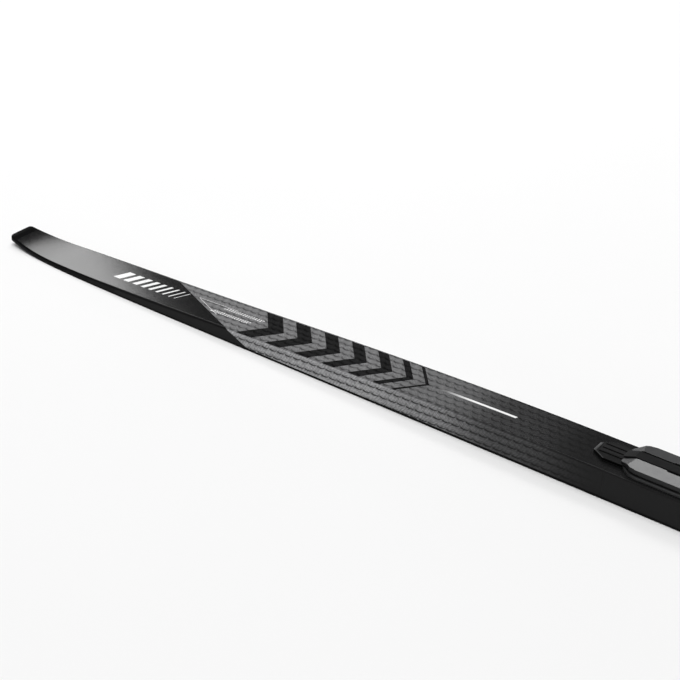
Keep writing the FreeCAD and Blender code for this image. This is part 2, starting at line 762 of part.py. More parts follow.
def build_strap():
    """The flat strap that joins the toe unit to the heel unit."""
    body = new_body("connecting_strap")
    low = DECK + dim("strap_low")
    half = dim("strap_half")
    front = dim("unit_end") + 7.0
    end = dim("strap_end")
    outline = [(front, half), (end + 3, half), (end, half - 3)]
    pad(body, "XY", low, low + dim("strap_thick"), mirrored(outline))
    for index in range(16):
        start = dim("heel_end") + 6 + 3.0 * index
        pocket(body, "XY", low + 0.6, low + 3, box_points(start, start + 1.4, -3.0, size(3.0)))
    pocket(body, "XY", low - 1, low + 3, circle=(rivet_x(), 0, 1.5))


def build_rivet():
    body = new_body("strap_rivet")
    low, floor = DECK + dim("strap_low"), DECK + dim("floor_high")
    pad(body, "XY", low, floor, circle=(rivet_x(), 0, 1.5))
    pad(body, "XY", floor, floor + 0.8, circle=(rivet_x(), 0, 2.6))


def build_heel_block():
    """The heel carriage: slides on the heel rail, with a tapered ridge for the boot's groove."""
    body = new_body("heel_block")
    front, end, half = dim("heel_front"), dim("heel_end"), dim("unit_half")
    top = DECK + dim("heel_high")
    outline = [(front, half - 5), (front - 4, half - 1), (front - 9, half), (end + 6, half), (end, half - 4)]
    pad(body, "XY", DECK + 0.4, top, mirrored(outline))
    build_slide_cavity(body, dim("rail_half"), end - 1, front + 1)
    ridge = [(front - 3, top), (front - 9, DECK + dim("ridge_high")), (end + 18, DECK + dim("ridge_high")),
             (end + 12.5, top)]
    pad(body, "XZ", -6.0, 6.0, ridge)
    well = box_points(end + 1.7, end + 10.3, -4.3, size(4.3))
    pocket(body, "XY", DECK + dim("plate_high") + 1.1, top + 1, well)
    dress(body, "Chamfer", 1.6, lambda centre, box: abs(abs(centre.y) - 6.0) < 0.01 and box.XLength > 20
          and centre.z > top.value + 3)


def build_heel_pad(label, sign):
    """Rubber tread beside the ridge."""
    body = new_body(label)
    top = DECK + dim("heel_high")
    front, end, half = dim("heel_front") - 5, dim("heel_end") + 13, dim("unit_half") - 1.2
    outline = [(front, size(6.4)), (front, half - 5), (front - 4.5, half), (end, half), (end, size(6.4))]
    pad(body, "XY", top, top + dim("pad_thick"), [(a, size(b) * sign) for a, b in outline])
    for index in range(6):
        start = end + 3 + 5.0 * index
        groove = [(start, sign * 8.0), (start + 1.4, sign * 8.0), (start + 1.4, sign * 15.4), (start, sign * 15.4)]
        pocket(body, "XY", top + dim("pad_thick") - 0.6, top + 3, groove)


def build_heel_button():
    body = new_body("heel_button")
    end = dim("heel_end")
    top = DECK + dim("heel_high")
    pad(body, "XY", top - 1.2, top + 1.4, box_points(end + 2, end + 10, -4.0, size(4.0)))
    for index in range(3):
        start = end + 3.4 + 2.2 * index
        pocket(body, "XY", top + 1.0, top + 2, box_points(start, start + 0.9, -3.0, size(3.0)))


# ---------------------------------------------------------------- assembly

def build_binding():
    build_plate_front()
    build_plate_rear()
    for x, y, radius, label in screw_places():
        head = "screw_head" if radius == "screw_radius" else "small_head"
        build_screw(x, y, radius, head, label)
    build_toe_housing()
    build_flank("flank_left", 1)
    build_flank("flank_right", -1)
    build_lever()
    hinge_z = DECK + dim("hinge_high")
    pin_between("lever_pin", dim("hinge_x"), hinge_z, dim("pin_radius"), 7.6)
    build_jaw()
    pin_between("jaw_pin", dim("jaw_x"), hinge_z, dim("pin_radius"), 11.4)
    build_bar_seat()
    build_flexor()
    build_pawl()
    pin_between("pawl_pin", dim("pawl_x"), DECK + dim("pawl_high"), dim("pin_radius") - 0.3, 7.4)
    floor = DECK + dim("floor_high")
    build_spring("pawl_spring", dim("pawl_x") - 10.5, floor, floor + 0.95, 1.4, 0.2)
    build_strap()
    build_rivet()
    build_heel_block()
    build_heel_pad("heel_pad_left", 1)
    build_heel_pad("heel_pad_right", -1)
    build_heel_button()
    well = DECK + dim("plate_high") + 1.1
    build_spring("button_spring", dim("heel_end") + 6, well, DECK + dim("heel_high") - 1.2, 1.6, 0.3)


def check_document():
    doc.recompute()
    for item in doc.Objects:
        if "Invalid" in item.State or "Error" in item.State:
            raise RuntimeError("%s failed: %s" % (item.Label, item.State))
    for item in SUB_PARTS:
        if item.Shape.isNull() or not item.Shape.isValid():
            raise RuntimeError("%s has no valid shape" % item.Label)
        if len(item.Shape.Solids) != 1:
            raise RuntimeError("%s has %d solids" % (item.Label, len(item.Shape.Solids)))


def write_parts():
    os.makedirs("parts", exist_ok=True)
    for item in SUB_PARTS:
        item.Shape.exportStep("parts/%s.step" % item.Label)
        box = item.Shape.BoundBox
        print("%-18s x %8.2f %8.2f  y %7.2f %7.2f  z %6.2f %6.2f  volume %9.1f" % (
            item.Label, box.XMin, box.XMax, box.YMin, box.YMax, box.ZMin, box.ZMax, item.Shape.Volume))


build_ski()
build_binding()
check_document()
write_parts()
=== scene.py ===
"""Looks of the cross country ski: a moulded cap with its graphics, a detailed binding, studio and camera."""

import json
import math

import bmesh
import bpy
from mathutils import Matrix, Vector

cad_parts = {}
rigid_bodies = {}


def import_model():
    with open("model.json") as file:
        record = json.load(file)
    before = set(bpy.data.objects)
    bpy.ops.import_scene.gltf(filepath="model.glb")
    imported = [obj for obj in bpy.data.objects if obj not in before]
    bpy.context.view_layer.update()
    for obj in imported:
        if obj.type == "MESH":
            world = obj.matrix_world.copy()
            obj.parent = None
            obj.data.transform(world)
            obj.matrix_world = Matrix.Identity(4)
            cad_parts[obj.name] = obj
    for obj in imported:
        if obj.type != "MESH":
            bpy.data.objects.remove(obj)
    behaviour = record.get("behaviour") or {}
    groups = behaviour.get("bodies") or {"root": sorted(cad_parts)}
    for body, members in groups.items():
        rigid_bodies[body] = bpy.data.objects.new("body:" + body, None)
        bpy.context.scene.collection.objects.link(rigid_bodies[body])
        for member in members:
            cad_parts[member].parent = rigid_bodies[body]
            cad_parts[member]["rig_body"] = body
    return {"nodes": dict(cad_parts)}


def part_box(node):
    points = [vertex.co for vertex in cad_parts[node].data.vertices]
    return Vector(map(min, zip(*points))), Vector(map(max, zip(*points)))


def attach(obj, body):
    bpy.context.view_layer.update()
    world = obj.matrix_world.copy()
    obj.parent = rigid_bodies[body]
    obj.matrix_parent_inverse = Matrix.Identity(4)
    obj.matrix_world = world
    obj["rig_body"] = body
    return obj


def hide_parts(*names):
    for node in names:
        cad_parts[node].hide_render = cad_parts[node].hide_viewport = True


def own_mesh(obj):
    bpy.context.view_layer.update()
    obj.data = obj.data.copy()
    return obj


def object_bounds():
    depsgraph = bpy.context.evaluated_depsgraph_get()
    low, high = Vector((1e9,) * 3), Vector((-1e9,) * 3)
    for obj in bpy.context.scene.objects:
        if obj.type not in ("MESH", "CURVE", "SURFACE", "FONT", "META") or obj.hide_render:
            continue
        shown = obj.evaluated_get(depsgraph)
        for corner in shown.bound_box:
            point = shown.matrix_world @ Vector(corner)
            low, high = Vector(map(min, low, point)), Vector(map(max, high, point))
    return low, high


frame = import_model()
cad_low, cad_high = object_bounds()
SCENE = bpy.context.scene
MM = 0.001


# ---------------------------------------------------------------- camera

CAMERA_PLACE = Vector((-0.343606, 0.786418, 0.636304))
CAMERA_PITCH = 0.54495
CAMERA_YAW = 0.66969
CAMERA_ROLL = -0.01097
LENS_TO_WIDTH = 1493.12 / 680.0
SENSOR = 36.0


def make_camera():
    """A camera that looks down the ski from beside its binding."""
    cos_pitch, sin_pitch = math.cos(CAMERA_PITCH), math.sin(CAMERA_PITCH)
    cos_yaw, sin_yaw = math.cos(CAMERA_YAW), math.sin(CAMERA_YAW)
    forward = Vector((sin_yaw * cos_pitch, -cos_yaw * cos_pitch, -sin_pitch))
    level = Vector((-cos_yaw, -sin_yaw, 0.0))
    upright = level.cross(forward)
    cos_roll, sin_roll = math.cos(CAMERA_ROLL), math.sin(CAMERA_ROLL)
    right = level * cos_roll + upright * sin_roll
    up = upright * cos_roll - level * sin_roll
    data = bpy.data.cameras.new("camera")
    data.sensor_width = SENSOR
    data.lens = SENSOR * LENS_TO_WIDTH
    data.clip_start = 0.01
    data.clip_end = 100.0
    camera = bpy.data.objects.new("camera", data)
    turn = Matrix((right, up, -forward)).transposed()
    camera.matrix_world = Matrix.Translation(CAMERA_PLACE) @ turn.to_4x4()
    SCENE.collection.objects.link(camera)
    SCENE.camera = camera


# ---------------------------------------------------------------- shader expressions

class Wire:
    """A node output that takes part in arithmetic."""

    def __init__(self, net, socket):
        self.net = net
        self.socket = socket

    def __add__(self, other):
        return self.net.math("ADD", self, other)

    def __sub__(self, other):
        return self.net.math("SUBTRACT", self, other)

    def __rsub__(self, other):
        return self.net.math("SUBTRACT", other, self)

    def __mul__(self, other):
        return self.net.math("MULTIPLY", self, other)

    def __truediv__(self, other):
        return self.net.math("DIVIDE", self, other)

    __radd__ = __add__
    __rmul__ = __mul__


class Net:
    """A material made of nodes, written as expressions."""

    def __init__(self, name, world=False):
        if world:
            self.owner = bpy.data.worlds.new(name)
        else:
            self.owner = bpy.data.materials.new(name)
        self.owner.use_nodes = True
        self.tree = self.owner.node_tree
        self.tree.nodes.clear()

    def node(self, kind, **settings):
        made = self.tree.nodes.new(kind)
        for key, value in settings.items():
            setattr(made, key, value)
        return made

    def feed(self, socket, value):
        if isinstance(value, Wire):
            self.tree.links.new(value.socket, socket)
        else:
            socket.default_value = value

    def out(self, node, index=0):
        return Wire(self, node.outputs[index])

    def math(self, operation, *values):
        node = self.node("ShaderNodeMath", operation=operation)
        for socket, value in zip(node.inputs, values):
            self.feed(socket, value)
        return self.out(node)

    def ramp(self, value, low, high, out_low=0.0, out_high=1.0):
        """Smooth change from out_low to out_high while value goes from low to high."""
        node = self.node("ShaderNodeMapRange", interpolation_type="SMOOTHSTEP")
        for name, number in (("Value", value), ("From Min", low), ("From Max", high),
                             ("To Min", out_low), ("To Max", out_high)):
            self.feed(node.inputs[name], number)
        return self.out(node)

    def inside(self, value, low, high, soft):
        """1 between low and high, 0 outside, with soft borders."""
        rise = self.ramp(value, low - soft, low + soft)
        return rise * self.ramp(value, high - soft, high + soft, 1.0, 0.0)

    def mix(self, share, first, second):
        """Blend of two colours."""
        node = self.node("ShaderNodeMix", data_type="RGBA")
        self.feed(node.inputs[0], share)
        for socket, colour in ((node.inputs[6], first), (node.inputs[7], second)):
            self.feed(socket, colour if isinstance(colour, Wire) else (*colour, 1.0))
        return self.out(node, 2)

    def place(self):
        """Position on the piece at rest, in metres."""
        return self.out(self.node("ShaderNodeTexCoord"), 3)

    def stretch(self, vector, scale, turn=(0.0, 0.0, 0.0)):
        node = self.node("ShaderNodeMapping")
        self.feed(node.inputs["Vector"], vector)
        node.inputs["Rotation"].default_value = turn
        node.inputs["Scale"].default_value = scale
        return self.out(node)

    def noise(self, vector, scale, detail=3.0, rough=0.5):
        node = self.node("ShaderNodeTexNoise")
        self.feed(node.inputs["Vector"], vector)
        for name, number in (("Scale", scale), ("Detail", detail), ("Roughness", rough)):
            node.inputs[name].default_value = number
        return self.out(node, 0)

    def cells(self, vector, scale, feature="F1"):
        node = self.node("ShaderNodeTexVoronoi", feature=feature)
        self.feed(node.inputs["Vector"], vector)
        node.inputs["Scale"].default_value = scale
        return self.out(node, 0)

    def worn(self):
        """High on convex edges."""
        pointiness = self.out(self.node("ShaderNodeNewGeometry"), 7)
        return self.ramp(pointiness, 0.52, 0.62)

    def axes(self, vector):
        """The X and Y parts of a vector."""
        split = self.node("ShaderNodeSeparateXYZ")
        self.feed(split.inputs[0], vector)
        return self.out(split, 0), self.out(split, 1)

    def bump(self, height, depth, under=None):
        node = self.node("ShaderNodeBump")
        self.feed(node.inputs["Height"], height)
        node.inputs["Distance"].default_value = depth
        if under is not None:
            self.feed(node.inputs["Normal"], under)
        return self.out(node)

    def surface(self, colour, rough, normal=None, **fixed):
        """Ends the net with one shader; `fixed` are plain numbers on its own sockets."""
        shader = self.node("ShaderNodeBsdfPrincipled")
        self.feed(shader.inputs["Base Color"], colour)
        self.feed(shader.inputs["Roughness"], rough)
        if normal is not None:
            self.feed(shader.inputs["Normal"], normal)
        for key, value in fixed.items():
            shader.inputs[key.replace("_", " ")].default_value = value
        output = self.node("ShaderNodeOutputMaterial")
        self.tree.links.new(shader.outputs[0], output.inputs[0])
        return self.owner


def grey(level, tint=0.0):
    """A neutral colour, a little bluer where tint is above zero."""
    return (level, level * (1 + tint * 0.4), level * (1 + tint))


# ---------------------------------------------------------------- plain materials

def moulded(name, level, rough, grain=2600.0, depth=0.00003, specular=0.25, flow=1.0, **fixed):
    """Injection-moulded plastic: fine spark texture, faint flow marks, paler rubbed edges."""
    net = Net(name)
    place = net.place()
    fine = net.cells(place, grain)
    cloud = net.noise(place, 90.0, 4.0)
    dark, light = grey(level * 0.8, 0.03), grey(level * 1.25, 0.03)
    colour = net.mix(cloud, dark, light)
    colour = net.mix(net.worn() * net.noise(place, 900.0) * 0.5, colour, grey(level * 2.2 + 0.02))
    shine = net.ramp(net.noise(place, 160.0), 0.3, 0.7, rough - 0.05 * flow, rough + 0.07 * flow)
    return net.surface(colour, shine, net.bump(fine, depth, net.bump(cloud, 0.00004 * flow)),
                       Specular_IOR_Level=specular, **fixed)


def metal(name, level, rough, axis_scale):
    """Steel with drawn or brushed lines along its longest scale axis."""
    net = Net(name)
    place = net.place()
    lines = net.noise(net.stretch(place, axis_scale), 1.0, 4.0, 0.7)
    blot = net.noise(place, 140.0, 4.0)
    colour = net.mix(lines, grey(level * 0.75, 0.02), grey(level * 1.1, 0.03))
    colour = net.mix(net.ramp(blot, 0.55, 0.75, 0.0, 0.35), colour, grey(level * 0.5))
    shine = net.ramp(lines, 0.2, 0.8, rough - 0.08, rough + 0.12)
    return net.surface(colour, shine, net.bump(lines, 0.00002), Metallic=1.0)


def rubbery(name, level):
    """Matt elastomer with a fine pebbled skin and dusty high spots."""
    net = Net(name)
    place = net.place()
    pebbles = net.cells(place, 1500.0, "SMOOTH_F1")
    dust = net.noise(place, 120.0, 5.0)
    colour = net.mix(net.ramp(dust, 0.45, 0.75), grey(level), grey(level * 2.0 + 0.01))
    shine = net.ramp(dust, 0.3, 0.7, 0.62, 0.8)
    return net.surface(colour, shine, net.bump(pebbles, 0.00006))


TOW_WIDTH = 0.0022


def laminate_cloth(name, level):
    """Twill carbon cloth under resin."""
    net = Net(name)
    place = net.place()
    x, y = (axis / TOW_WIDTH for axis in net.axes(place))
    step = net.math("FRACT", (net.math("FLOOR", x) + net.math("FLOOR", y)) * 0.25)
    over = net.math("GREATER_THAN", step, 0.45)
    fibre = net.noise(net.stretch(place, (900.0, 9000.0, 900.0)), 1.0)
    colour = net.mix(over * 0.7 + fibre * 0.3, grey(level * 0.5), grey(level * 1.6))
    return net.surface(colour, net.ramp(fibre, 0.2, 0.8, 0.3, 0.45), net.bump(over, 0.00008))


def foam(name, colour_low, colour_high, scale):
    """Closed-cell core: small bubbles of two tones."""
    net = Net(name)
    place = net.place()
    bubbles = net.cells(place, scale)
    colour = net.mix(bubbles, colour_low, colour_high)
    return net.surface(colour, net.ramp(bubbles, 0.0, 0.6, 0.85, 0.65), net.bump(bubbles, 0.0002))


def sintered_base(name):
    """Black running base: graphite speckle and the long fine lines of a stone grind."""
    net = Net(name)
    place = net.place()
    lines = net.noise(net.stretch(place, (6.0, 2600.0, 40.0)), 1.0, 2.0)
    speck = net.cells(place, 1200.0)
    scratch = net.noise(net.stretch(place, (14.0, 500.0, 14.0), (0.0, 0.0, 0.06)), 1.0, 5.0, 0.8)
    colour = net.mix(net.ramp(speck, 0.2, 0.6), grey(0.03), grey(0.014, 0.05))
    colour = net.mix(net.ramp(scratch, 0.6, 0.75, 0.0, 0.3), colour, grey(0.08))
    shine = net.ramp(lines, 0.3, 0.7, 0.32, 0.5)
    return net.surface(colour, shine, net.bump(lines, 0.00005))


# ---------------------------------------------------------------- the cap's graphics

# In mm: `along` is the distance from the tip, `across` the way from the middle line,
# unrolled over the edge.
ROW_PITCH = 6.2
CELL_LENGTH = 8.2
SIDE_START = 20.3
BORDER_START, BORDER_SLOPE, BORDER_WALL_SLOPE = 181.8, 2.28, 2.1
BORDER_EDGE = 19.8
CHEVRONS = ((302.0, 17.0), (333.0, 15.5), (363.0, 14.0), (391.0, 12.5), (417.0, 11.0), (441.0, 7.0),
            (459.0, 3.5))
BARS = ((131.0, 7.6), (143.0, 6.4), (154.0, 5.4), (164.0, 4.4), (173.0, 3.6), (181.5, 2.8), (189.5, 2.0),
        (197.0, 1.3), (203.5, 0.7))
DASH_ROWS, DASH_HIGH, DASH_PITCH = (-6.0, -4.2, 2.2, 4.0), 1.1, 2.6
STRIPE_START, STRIPE_END = 470.0, 540.0
SEAM_START, SEAM_END = 622.6, 623.2


def rope_weave(net, along, across, side):
    """Rows of rope-like cells with slanted fibres: returns brightness and height, both 0 to 1."""
    rows = across / ROW_PITCH
    border = net.math("ROUND", rows)
    offset = rows - border
    odd = net.math("FLOORED_MODULO", border, 2.0)
    phase = net.math("FRACT", along / CELL_LENGTH + odd * 0.5)
    bow = phase * (1.0 - phase) * 4.0
    gap = net.math("ABSOLUTE", offset - (bow - 0.6) * (0.26 - side * 0.12))
    closed = net.ramp(net.math("ABSOLUTE", phase - 0.5), 0.34, 0.5, 1.0, 0.35)
    valley = net.ramp(gap, 0.01, 0.08 + (1.0 - phase) * 0.17, 1.0, 0.0)
    line = 1.0 - valley * closed * 0.9
    crown = net.ramp(gap, 0.0, 0.5)
    lay = net.math("FRACT", along / (CELL_LENGTH / 3) + offset * 1.6 + odd * 0.5)
    strand = net.math("ABSOLUTE", lay - 0.5) * 2.0
    turned = across * (1.0 - net.math("FLOORED_MODULO", net.math("FLOOR", rows), 2.0) * 2.0)
    slanted = net.node("ShaderNodeCombineXYZ")
    net.feed(slanted.inputs[0], (along * 0.78 + turned * 0.62) * 0.28)
    net.feed(slanted.inputs[1], (turned * 0.78 - along * 0.62) * 1.25)
    fibre = net.ramp(net.noise(net.out(slanted), 1.0, 2.0), 0.36, 0.64)
    shade = line * (0.24 + 0.24 * crown + 0.22 * strand + 0.42 * fibre)
    return shade, line * (0.35 + 0.25 * crown + 0.2 * strand + 0.2 * fibre)


def bold_marks(net, along, across):
    """A row of wide dark chevrons that all point to the tail, each thinner than the last."""
    fold = along + net.math("ABSOLUTE", across - 1.0) * 0.9
    high = net.inside(across, -18.6, 20.6, 0.25)
    marks = 0.0
    for start, width in CHEVRONS:
        marks = net.inside(fold, start, start + width, 0.25) + marks
    return net.math("MINIMUM", marks, 1.0) * high


def white_marks(net, along, across):
    """A small white row of leaning bars near the tip, each thinner than the last."""
    slant = along + across * 0.5
    marks = 0.0
    for start, width in BARS:
        marks = net.inside(slant, start, start + width, 0.12) + marks
    return net.math("MINIMUM", marks, 1.0) * net.inside(across, -7.4, 6.2, 0.12)


def fine_marks(net, along, across, border):
    """Thin white lines beside the diagonal and four rows of tiny dashes."""
    line = net.inside(border, 6.9, 7.7, 0.2) * net.inside(across, -6.8, 7.2, 0.2)
    rule = net.inside(across, -7.3, -6.7, 0.1) * net.inside(along, 219.0, 262.0, 1.0) * 0.6
    dash = net.math("LESS_THAN", net.math("FRACT", along / DASH_PITCH), 0.6)
    rows = 0.0
    for low in DASH_ROWS:
        rows = net.inside(across, low, low + DASH_HIGH, 0.1) + rows
    area = net.inside(along + across, 246.0, 288.0, 0.4)
    return net.math("MAXIMUM", line + rule, dash * rows * area * 0.95)


# The weave fades out before the binding in three overlapping steps: share, start and end from the tip in mm.
WEAVE_FADE = ((0.25, 410.0, 470.0), (0.55, 465.0, 538.0), (0.2, 530.0, 625.0))


def cap_material(name, specular):
    """The ski's cap: glossy black shovel, grey rope weave, generic marks, black binding zone."""
    net = Net(name)
    along, across = (axis * 1000.0 for axis in net.axes(net.out(net.node("ShaderNodeUVMap"))))
    from_middle = net.math("ABSOLUTE", across)
    on_top = net.math("MINIMUM", across, SIDE_START)
    down_wall = net.math("MAXIMUM", across - SIDE_START, 0.0)
    border = along - (on_top + BORDER_EDGE) * BORDER_SLOPE - down_wall * BORDER_WALL_SLOPE - BORDER_START
    behind = net.ramp(border, -0.3, 0.3)
    side = net.ramp(from_middle, SIDE_START - 0.2, SIDE_START + 1.2)
    shade, height = rope_weave(net, along, across, side)
    front = 0.0
    for share, start, end in WEAVE_FADE:
        front = net.ramp(along, start, end, share, 0.0) + front
    tail_border = net.ramp(along + across * 2.0, 1262.0, 1263.0, 1.0, 0.0)
    tail = net.ramp(along - across, 1010.0, 1140.0) * tail_border
    woven = behind * net.math("MAXIMUM", front, tail * 0.5)
    patch = net.noise(net.place(), 40.0, 3.0)
    # The black grows a little lighter from 590 to 625 mm from the tip: partly the binding zone's lighter panel,
    # partly painted light.
    ground = net.ramp(along, 590.0, 625.0, 0.006, 0.011)
    # Painted light: the weave on the side walls is painted more than twice as bright as on the top.
    level = ground + woven * shade * (0.19 + side * 0.275) * (0.85 + patch * 0.3)
    dark = bold_marks(net, along, across)
    level = level * (1.0 - dark * 0.9)
    rgb = net.node("ShaderNodeCombineColor")
    net.feed(rgb.inputs[0], level)
    net.feed(rgb.inputs[1], level)
    net.feed(rgb.inputs[2], level * 1.02)
    colour = net.out(rgb)
    stripe = net.inside(across, -0.6, 1.6, 0.12)
    stripe = stripe * net.inside(along + across * 0.4, STRIPE_START, STRIPE_END, 0.15)
    stripe = stripe * net.ramp(along, STRIPE_START - 2.0, STRIPE_START + 35.0)
    white = white_marks(net, along, across) + stripe
    white = net.math("MAXIMUM", white, fine_marks(net, along, across, border) * behind)
    colour = net.mix(net.math("MINIMUM", white, 1.0), colour, grey(0.86))
    grain = net.cells(net.place(), 2000.0)
    lacquer = net.ramp(grain, 0.1, 0.7, 0.08, 0.16)
    rough = lacquer + woven * (1.0 - dark) * 0.4 + white * 0.1
    rim = net.ramp(from_middle, 18.6, 19.6)
    rough = rough + rim * (1.0 - woven) * 0.35
    relief = net.bump(height * woven * (1.0 - dark), 0.00025)
    relief = net.bump(grain * (1.0 - woven), 0.00001, relief)
    seam = net.inside(along, SEAM_START, SEAM_END, 0.1)
    relief = net.bump(1.0 - seam, 0.0002, relief)
    return net.surface(colour, rough, relief, Specular_IOR_Level=specular)


# ---------------------------------------------------------------- the cap's shape

# All in mm.
RISE, CAMBER, TAIL_RISE = 6.2, 0.5, 3.0
FRONT_CONTACT, BACK_CONTACT = 590.0, -600.0
HALF = (cad_high.x - cad_low.x) / 2 / MM
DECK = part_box("topsheet")[1].z / MM
WIDE = 22.0
END_THICK = 3.7
DECK_FRONT, DECK_BACK, TAIL_RAMP = 55.0, -306.0, 330.0
SIDE_SLOPE = 0.08
CAP_BOTTOM = 1.8
CAP_WALL = 1.4
CAP_SKIN = 0.6
EDGE_ROUND, TIP_ROUND = 1.1, 1.9
ROUND_STEPS, MIDDLE_STEPS = 6, 180
TAIL_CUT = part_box("topsheet")[0].x / MM


def smooth(t):
    t = min(max(t, 0.0), 1.0)
    return t * t * (3 - 2 * t)


def base_height(x):
    """Running surface height in mm: the CAD's own formula."""
    if x > FRONT_CONTACT:
        return RISE * ((x - FRONT_CONTACT) / (HALF - FRONT_CONTACT)) ** 2.35
    if x < BACK_CONTACT:
        return TAIL_RISE * ((BACK_CONTACT - x) / (HALF + BACK_CONTACT)) ** 2
    share = (x - BACK_CONTACT) / (FRONT_CONTACT - BACK_CONTACT)
    return CAMBER * math.sin(math.pi * share) ** 2


def top_height(x):
    """Height of the cap's top in mm: the deck, and the slopes down to both ends."""
    end = base_height(x) + END_THICK
    if x > DECK_FRONT:
        share = smooth((HALF - x) / (HALF - DECK_FRONT))
    elif x < DECK_BACK:
        share = smooth((HALF + x) / TAIL_RAMP)
    else:
        share = 1.0
    return end + (DECK - end) * share


def curve_through(points, steps):
    """Points of a smooth open curve through the given ones."""
    ends = [points[0] * 2 - points[1]] + points + [points[-1] * 2 - points[-2]]
    result = []
    for index in range(1, len(ends) - 2):
        before, start, end, after = ends[index - 1:index + 3]
        for step in range(steps):
            t = step / steps
            middle = start * 2 + (end - before) * t
            middle += (before * 2 - start * 5 + end * 4 - after) * t * t
            middle += (start * 3 - before - end * 3 + after) * t ** 3
            result.append(middle / 2)
    return result + [points[-1]]


def corner_arc(first, middle, last, steps):
    """Points of the circle arc through three points."""
    a, b = middle - first, last - first
    d = 2 * (a.x * b.y - a.y * b.x)
    centre = first + Vector((b.y * a.length_squared - a.y * b.length_squared,
                             a.x * b.length_squared - b.x * a.length_squared)) / d
    start = math.atan2(first.y - centre.y, first.x - centre.x)
    sweep = math.atan2(last.y - centre.y, last.x - centre.x) - start
    sweep = (sweep + math.pi) % (2 * math.pi) - math.pi
    radius = (first - centre).length
    angles = [start + sweep * step / steps for step in range(steps + 1)]
    return [centre + Vector((math.cos(t), math.sin(t))) * radius for t in angles]


def plan_outline():
    """Half outline of the ski seen from above, from the tail cut to the tip, in mm."""
    tip = [(HALF, 10.0), (HALF - 1.3, 12.9), (HALF - 4.4, 14.2)]
    shovel = [tip[2], (HALF - 30, WIDE - 4.9), (HALF - 70, WIDE - 2.0), (HALF - 130, WIDE - 0.4),
              (HALF - 200, WIDE)]
    tail = [(-HALF + 60, WIDE), (-HALF + 30, WIDE - 0.7), (-HALF + 9, WIDE - 3.0)]
    tip, shovel, tail = ([Vector(p) for p in part] for part in (tip, shovel, tail))
    front = corner_arc(*tip, 8) + curve_through(shovel, 14)[1:]
    back = curve_through(tail, 12)
    middle = [front[-1].lerp(back[0], step / MIDDLE_STEPS) for step in range(1, MIDDLE_STEPS)]
    whole = front + middle + [p for p in back if p.x > TAIL_CUT + 0.5]
    cut = back[0]
    for point in back:
        if point.x > TAIL_CUT:
            cut = point
    return list(reversed(whole + [Vector((TAIL_CUT, cut.y - (cut.x - TAIL_CUT) * 0.2))]))


def outward(points, index):
    """Unit direction out of the outline at one of its points."""
    before = points[max(index - 1, 0)]
    after = points[min(index + 1, len(points) - 1)]
    along = (after - before).normalized()
    return Vector((-along.y, along.x))


def cap_section(point, normal):
    """Left half of a section as (place, unrolled y): outer rows from the bottom up, then inner rows."""
    bottom = base_height(point.x) + CAP_BOTTOM
    rows = []

    def at(inset, z):
        spot = point - normal * inset
        return Vector((spot.x, spot.y - SIDE_SLOPE * z, z))

    top = top_height(point.x)
    radius = EDGE_ROUND + (TIP_ROUND - EDGE_ROUND) * smooth((point.x - 200.0) / 300.0)
    radius = min(radius, (top - bottom) * 0.8)
    turn = math.pi / 2 - math.atan(SIDE_SLOPE)
    edge_y = at(radius, top).y
    wall_top = top - radius
    arc = radius * turn
    rows.append((at(0.0, bottom), edge_y + arc + wall_top - bottom))
    for share in (0.33, 0.66):
        z = bottom + (wall_top - bottom) * share
        rows.append((at(0.0, z), edge_y + arc + wall_top - z))
    for step in range(ROUND_STEPS + 1):
        angle = turn * step / ROUND_STEPS
        inset = radius * (1 - math.cos(angle))
        z = wall_top + radius * math.sin(angle) / math.sin(turn)
        rows.append((at(inset, min(z, top)), edge_y + arc * (1 - step / ROUND_STEPS)))
    inner = [(at(CAP_WALL, max(top - CAP_SKIN, bottom + 0.05)), 0.0), (at(CAP_WALL, bottom), 0.0)]
    return rows, inner


def build_cap():
    """The cap as one closed shell with UVs: along the ski and unrolled across it, in metres."""
    outline = plan_outline()
    mesh = bmesh.new()
    flat = mesh.loops.layers.uv.new("flat")
    rings = []
    unrolled = {}
    for index, point in enumerate(outline):
        rows, inner = cap_section(point, outward(outline, index))
        ring = []
        for side in (1, -1):
            half = []
            for place, across in rows + inner:
                vert = mesh.verts.new((place.x * MM, place.y * side * MM, place.z * MM))
                unrolled[vert] = across * side
                half.append(vert)
            ring.append(half)
        left, right = ring
        outer = len(rows)
        # Round the section: up the left wall, down the right one, and back along the inside.
        rings.append(left[:outer] + right[:outer][::-1] + right[outer:][::-1] + left[outer:])
    count = len(rings[0])
    for one, two in zip(rings, rings[1:]):
        for k in range(count):
            n = (k + 1) % count
            mesh.faces.new((one[k], two[k], two[n], one[n]))
    last = rings[-1]
    for k in range(outer - 1):
        mesh.faces.new((last[k], last[2 * outer - 1 - k], last[2 * outer - 2 - k], last[k + 1]))
    inner_low_right, inner_top_right, inner_top_left, inner_low_left = last[2 * outer:]
    mesh.faces.new((last[0], inner_low_left, inner_low_right, last[2 * outer - 1]))
    mesh.faces.new((inner_low_left, inner_top_left, inner_top_right, inner_low_right))
    mesh.faces.new(list(reversed(rings[0])))
    bmesh.ops.recalc_face_normals(mesh, faces=mesh.faces)
    for face in mesh.faces:
        for loop in face.loops:
            loop[flat].uv = ((HALF * MM - loop.vert.co.x), unrolled[loop.vert] * MM)
    return finish_mesh("ski_cap", mesh)


def finish_mesh(name, mesh):
    """A smooth-shaded object from a bmesh, with its hard edges kept."""
    data = bpy.data.meshes.new(name)
    mesh.to_mesh(data)
    mesh.free()
    for polygon in data.polygons:
        polygon.use_smooth = True
    data.set_sharp_from_angle(angle=math.radians(32))
    piece = bpy.data.objects.new(name, data)
    SCENE.collection.objects.link(piece)
    weighted = piece.modifiers.new("weighted", "WEIGHTED_NORMAL")
    weighted.keep_sharp = True
    return piece


# ---------------------------------------------------------------- detailed copies of CAD nodes

